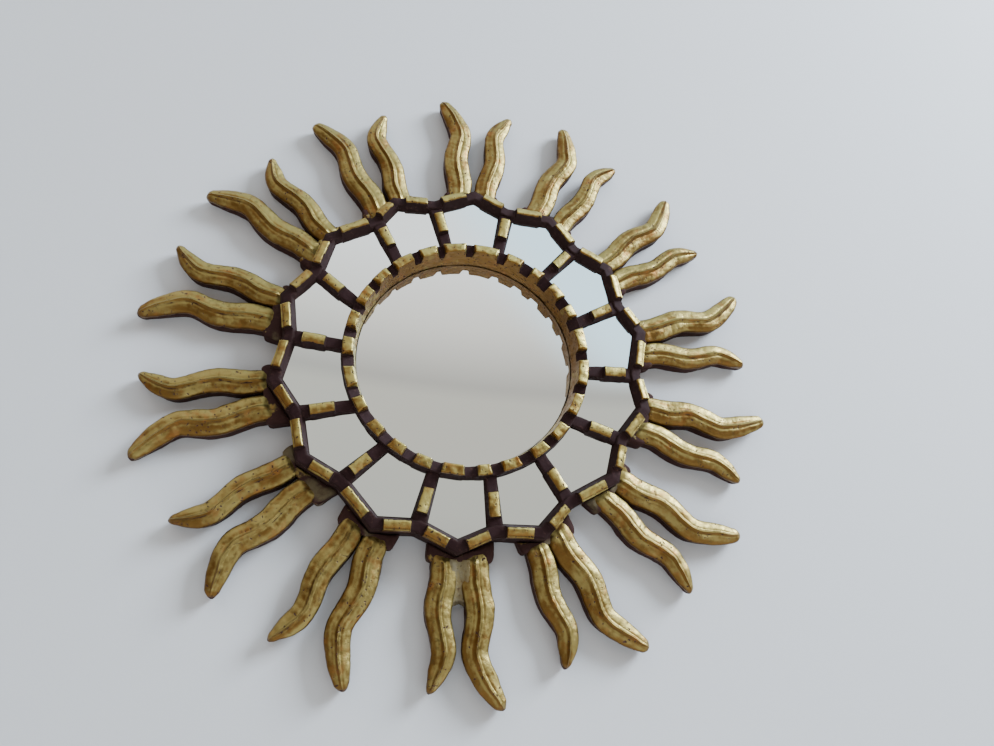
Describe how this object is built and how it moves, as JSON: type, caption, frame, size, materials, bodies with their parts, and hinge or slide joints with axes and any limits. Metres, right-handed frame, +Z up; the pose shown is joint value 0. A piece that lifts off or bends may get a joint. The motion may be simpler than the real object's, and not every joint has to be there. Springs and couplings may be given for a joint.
{
  "type": "sunburst wall mirror",
  "caption": "Round wall mirror in a carved, gilded ring, with a band of small mirrors around it and wavy forked rays.",
  "frame": {"origin": "centre of the round mirror, on the flat back that lies against the wall", "axes": "+Z up the wall, +X to the viewer's right, +Y into the wall, so the mirror faces -Y"},
  "size_m": [0.4143, 0.027, 0.4177],
  "materials": {
    "carved_wood": "dark carved wood with gold leaf on its raised parts",
    "gilded_wood": "worn gold leaf on carved wood",
    "round_glass": "silvered glass",
    "panel_glass": "silvered glass"
  },
  "bodies": {
    "root": {"frame": "carved_wood", "centre_mirror": "round_glass", "panel_mirror_01": "panel_glass", "panel_mirror_02": "panel_glass", "panel_mirror_03": "panel_glass", "panel_mirror_04": "panel_glass", "panel_mirror_05": "panel_glass", "panel_mirror_06": "panel_glass", "panel_mirror_07": "panel_glass", "panel_mirror_08": "panel_glass", "panel_mirror_09": "panel_glass", "panel_mirror_10": "panel_glass", "panel_mirror_11": "panel_glass", "panel_mirror_12": "panel_glass", "panel_mirror_13": "panel_glass", "panel_mirror_14": "panel_glass", "ray_pair_01": "gilded_wood", "ray_pair_02": "gilded_wood", "ray_pair_03": "gilded_wood", "ray_pair_04": "gilded_wood", "ray_pair_05": "gilded_wood", "ray_pair_06": "gilded_wood", "ray_pair_07": "gilded_wood", "ray_pair_08": "gilded_wood", "ray_pair_09": "gilded_wood", "ray_pair_10": "gilded_wood", "ray_pair_11": "gilded_wood", "ray_pair_12": "gilded_wood", "ray_pair_13": "gilded_wood", "ray_pair_14": "gilded_wood"}
  },
  "joints": []
}
